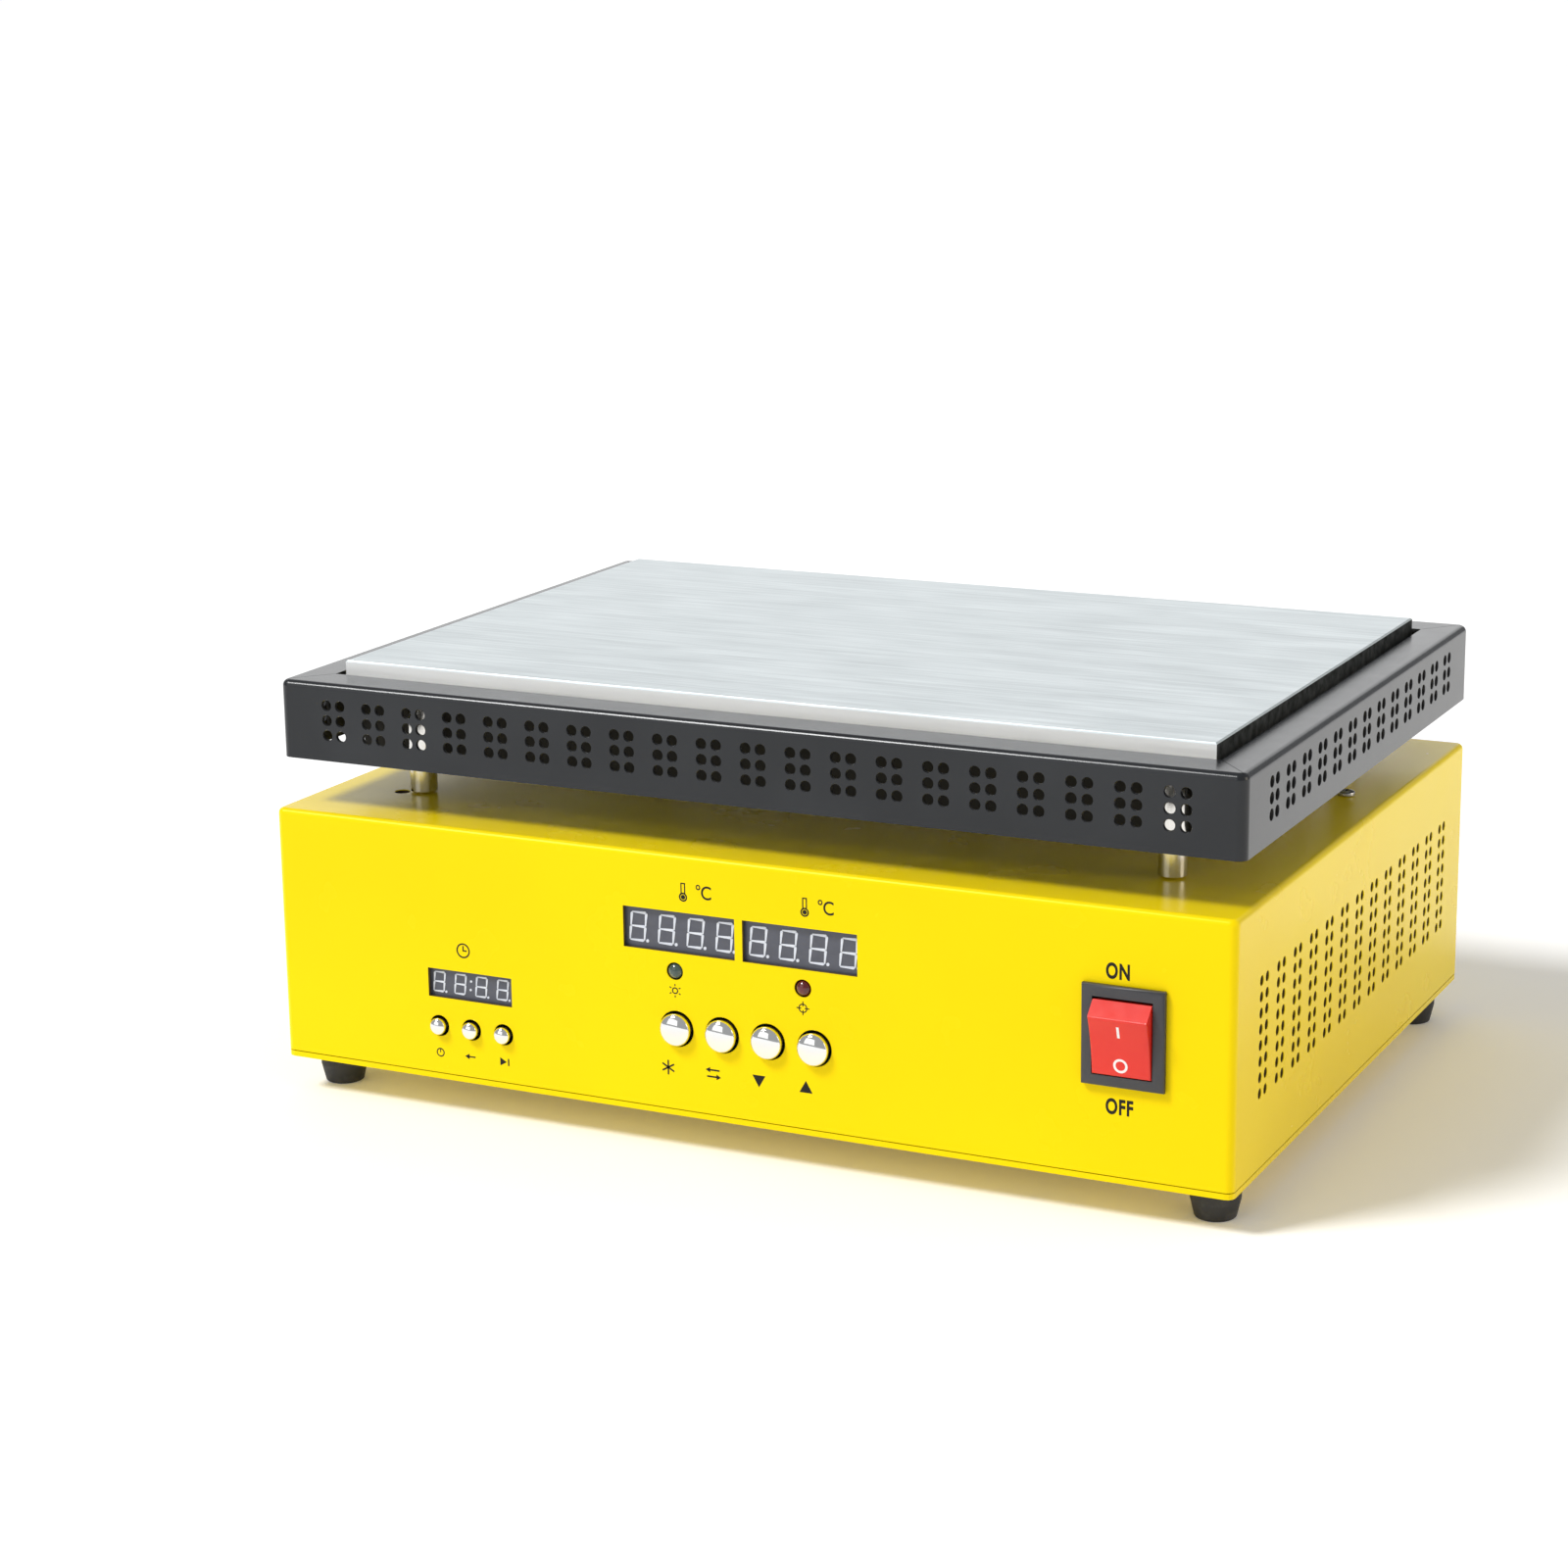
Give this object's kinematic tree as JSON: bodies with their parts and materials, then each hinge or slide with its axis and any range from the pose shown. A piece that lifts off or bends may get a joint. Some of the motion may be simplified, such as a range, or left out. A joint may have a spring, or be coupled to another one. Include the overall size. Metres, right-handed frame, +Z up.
{
  "type": "heating platform",
  "caption": "Bench heating platform: a guarded metal hot plate on posts above a sheet metal controller box with displays, push buttons, timer and rocker mains switch.",
  "frame": {"origin": "on the surface that the feet stand on, under the middle of the overall footprint", "axes": "+Z up, -Y out of the front panel, +X to the right of someone who faces the panel"},
  "size_m": [0.33, 0.2498, 0.143],
  "materials": {
    "yellow_powder_coat": "glossy powder coat",
    "charcoal_paint": "satin",
    "milled_aluminium": "brushed along its length",
    "bright_steel": "bright",
    "chrome": "polished",
    "black_rubber": "matte",
    "dark_plastic": "satin",
    "red_plastic": "glossy",
    "display_face": "satin",
    "green_lens": "glossy",
    "red_lens": "glossy",
    "circuit_board": "satin",
    "transformer_core": "taped windings on a laminated core",
    "glass_fibre_sleeve": "braided",
    "wire_cover": "satin"
  },
  "bodies": {
    "platform": {"housing_shell": "yellow_powder_coat", "base_plate": "yellow_powder_coat", "base_screw_front_left": "bright_steel", "base_screw_front_right": "bright_steel", "base_screw_rear_left": "bright_steel", "base_screw_rear_right": "bright_steel", "foot_front_left": "black_rubber", "foot_front_right": "black_rubber", "foot_rear_left": "black_rubber", "foot_rear_right": "black_rubber", "foot_screw_front_left": "bright_steel", "foot_screw_front_right": "bright_steel", "foot_screw_rear_left": "bright_steel", "foot_screw_rear_right": "bright_steel", "earth_screw": "bright_steel", "heater_plate": "milled_aluminium", "heater_cartridge_left": "bright_steel", "heater_cartridge_middle": "bright_steel", "heater_cartridge_right": "bright_steel", "thermocouple_probe": "bright_steel", "guard_frame": "charcoal_paint", "guard_rail_front": "charcoal_paint", "guard_rail_rear": "charcoal_paint", "post_front_left": "chrome", "post_front_right": "chrome", "post_rear_left": "chrome", "post_rear_right": "chrome", "post_screw_front_left": "bright_steel", "post_screw_front_right": "bright_steel", "post_screw_rear_left": "bright_steel", "post_screw_rear_right": "bright_steel", "cable_grommet": "black_rubber", "heater_lead_left": "glass_fibre_sleeve", "heater_lead_middle": "glass_fibre_sleeve", "heater_lead_right": "glass_fibre_sleeve", "thermocouple_cable": "glass_fibre_sleeve", "control_board": "circuit_board", "actual_display": "display_face", "setpoint_display": "display_face", "status_led": "green_lens", "calibration_led": "red_lens", "timer_board": "circuit_board", "timer_display": "display_face", "switch_body": "dark_plastic", "power_inlet": "dark_plastic", "power_board": "circuit_board", "transformer": "transformer_core", "heat_sink": "milled_aluminium", "triac": "dark_plastic", "mains_cable": "wire_cover", "supply_cable": "wire_cover", "control_cable": "glass_fibre_sleeve"},
    "mode_key": {"button_mode": "chrome"},
    "shift_key": {"button_shift": "chrome"},
    "down_key": {"button_down": "chrome"},
    "up_key": {"button_up": "chrome"},
    "timer_set_key": {"timer_button_set": "chrome"},
    "timer_reset_key": {"timer_button_reset": "chrome"},
    "timer_start_key": {"timer_button_start": "chrome"},
    "mains_rocker": {"rocker": "red_plastic"}
  },
  "joints": [
    {"name": "press_mode", "type": "slide", "parent": "platform", "child": "mode_key", "axis": [0, 1, 0], "range_m": [0, 0.0008], "stiffness_N_per_m": 800, "springref_m": -0.0008},
    {"name": "press_shift", "type": "slide", "parent": "platform", "child": "shift_key", "axis": [0, 1, 0], "range_m": [0, 0.0008], "stiffness_N_per_m": 800, "springref_m": -0.0008},
    {"name": "press_down", "type": "slide", "parent": "platform", "child": "down_key", "axis": [0, 1, 0], "range_m": [0, 0.0008], "stiffness_N_per_m": 800, "springref_m": -0.0008},
    {"name": "press_up", "type": "slide", "parent": "platform", "child": "up_key", "axis": [0, 1, 0], "range_m": [0, 0.0008], "stiffness_N_per_m": 800, "springref_m": -0.0008},
    {"name": "press_timer_set", "type": "slide", "parent": "platform", "child": "timer_set_key", "axis": [0, 1, 0], "range_m": [0, 0.0008], "stiffness_N_per_m": 500, "springref_m": -0.0008},
    {"name": "press_timer_reset", "type": "slide", "parent": "platform", "child": "timer_reset_key", "axis": [0, 1, 0], "range_m": [0, 0.0008], "stiffness_N_per_m": 500, "springref_m": -0.0008},
    {"name": "press_timer_start", "type": "slide", "parent": "platform", "child": "timer_start_key", "axis": [0, 1, 0], "range_m": [0, 0.0008], "stiffness_N_per_m": 500, "springref_m": -0.0008},
    {"name": "switch_on", "type": "hinge", "parent": "platform", "child": "mains_rocker", "pos_m": [0.131, -0.11232, 0.0579], "axis": [-1, 0, 0], "range_deg": [0, 25]}
  ]
}
